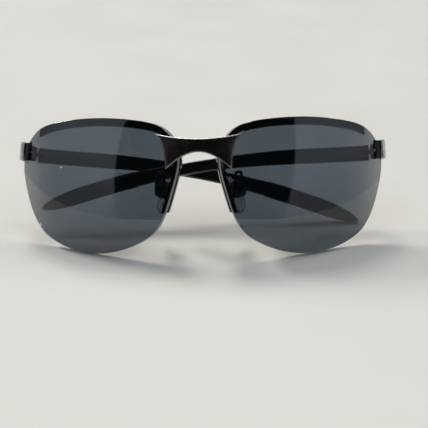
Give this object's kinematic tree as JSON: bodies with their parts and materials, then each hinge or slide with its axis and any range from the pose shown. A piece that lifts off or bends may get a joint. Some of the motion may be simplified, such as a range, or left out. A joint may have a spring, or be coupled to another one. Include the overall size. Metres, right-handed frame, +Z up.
{
  "type": "wraparound sport sunglasses",
  "caption": "Wraparound sport sunglasses with smoke lenses on half rims, a bowed metal bridge, rocking nose pads and folding temples.",
  "frame": {"origin": "centre of the footprint on the table, with the folded pair resting on its lens bottoms and left temple tip", "axes": "+X to the right as seen from the front, which is the wearer's left; +Y towards the back, where the wearer is; +Z up from the table"},
  "size_m": [0.138, 0.0378, 0.0468],
  "materials": {
    "lens": "polished smoke-grey polycarbonate, bluish, see-through",
    "rim": "gloss black",
    "bridge": "dark brownish gunmetal plating with a bright cut edge",
    "endpiece": "satin gunmetal",
    "hinge_steel": "dark nickel",
    "screw_steel": "polished",
    "wire": "dark plated wire",
    "cup": "dark plated",
    "silicone": "clear silicone",
    "temple": "gloss black",
    "sleeve": "smooth black"
  },
  "bodies": {
    "front": {"bridge": "bridge", "lens_right": "lens", "lens_left": "lens", "half_rim_right": "rim", "half_rim_left": "rim", "pad_arm_right": "wire", "pad_arm_left": "wire", "pad_cup_right": "cup", "pad_cup_left": "cup", "pad_screw_right": "screw_steel", "pad_screw_left": "screw_steel", "bridge_nuts": "screw_steel", "endpiece_screws": "screw_steel", "endpiece_right": "endpiece", "endpiece_left": "endpiece", "front_hinge_right": "hinge_steel", "front_hinge_left": "hinge_steel", "hinge_screw_right": "screw_steel", "hinge_screw_left": "screw_steel"},
    "temple_arm_left": {"temple_left": "temple", "ear_sleeve_left": "sleeve", "temple_leaf_left": "hinge_steel", "leaf_rivets_left": "screw_steel"},
    "pad_left": {"nose_pad_left": "silicone"},
    "temple_arm_right": {"temple_right": "temple", "ear_sleeve_right": "sleeve", "temple_leaf_right": "hinge_steel", "leaf_rivets_right": "screw_steel"},
    "pad_right": {"nose_pad_right": "silicone"}
  },
  "joints": [
    {"name": "temple_right_hinge", "type": "hinge", "parent": "front", "child": "temple_arm_right", "pos_m": [0.06545, 0.01487, 0.02678], "axis": [0.0486, -0.5192, -0.8533], "range_deg": [0, 92]},
    {"name": "temple_left_hinge", "type": "hinge", "parent": "front", "child": "temple_arm_left", "pos_m": [-0.06535, 0.01487, 0.02678], "axis": [0.0867, 0.5179, 0.8511], "range_deg": [0, 88.5]},
    {"name": "nose_pad_right_rock", "type": "hinge", "parent": "front", "child": "pad_right", "pos_m": [0.01379, -0.00413, 0.0208], "axis": [-0.581, -0.8137, 0.0188], "range_deg": [-8, 8]},
    {"name": "nose_pad_left_rock", "type": "hinge", "parent": "front", "child": "pad_left", "pos_m": [-0.01369, -0.00413, 0.0208], "axis": [-0.581, 0.8137, -0.0188], "range_deg": [-8, 8]}
  ]
}
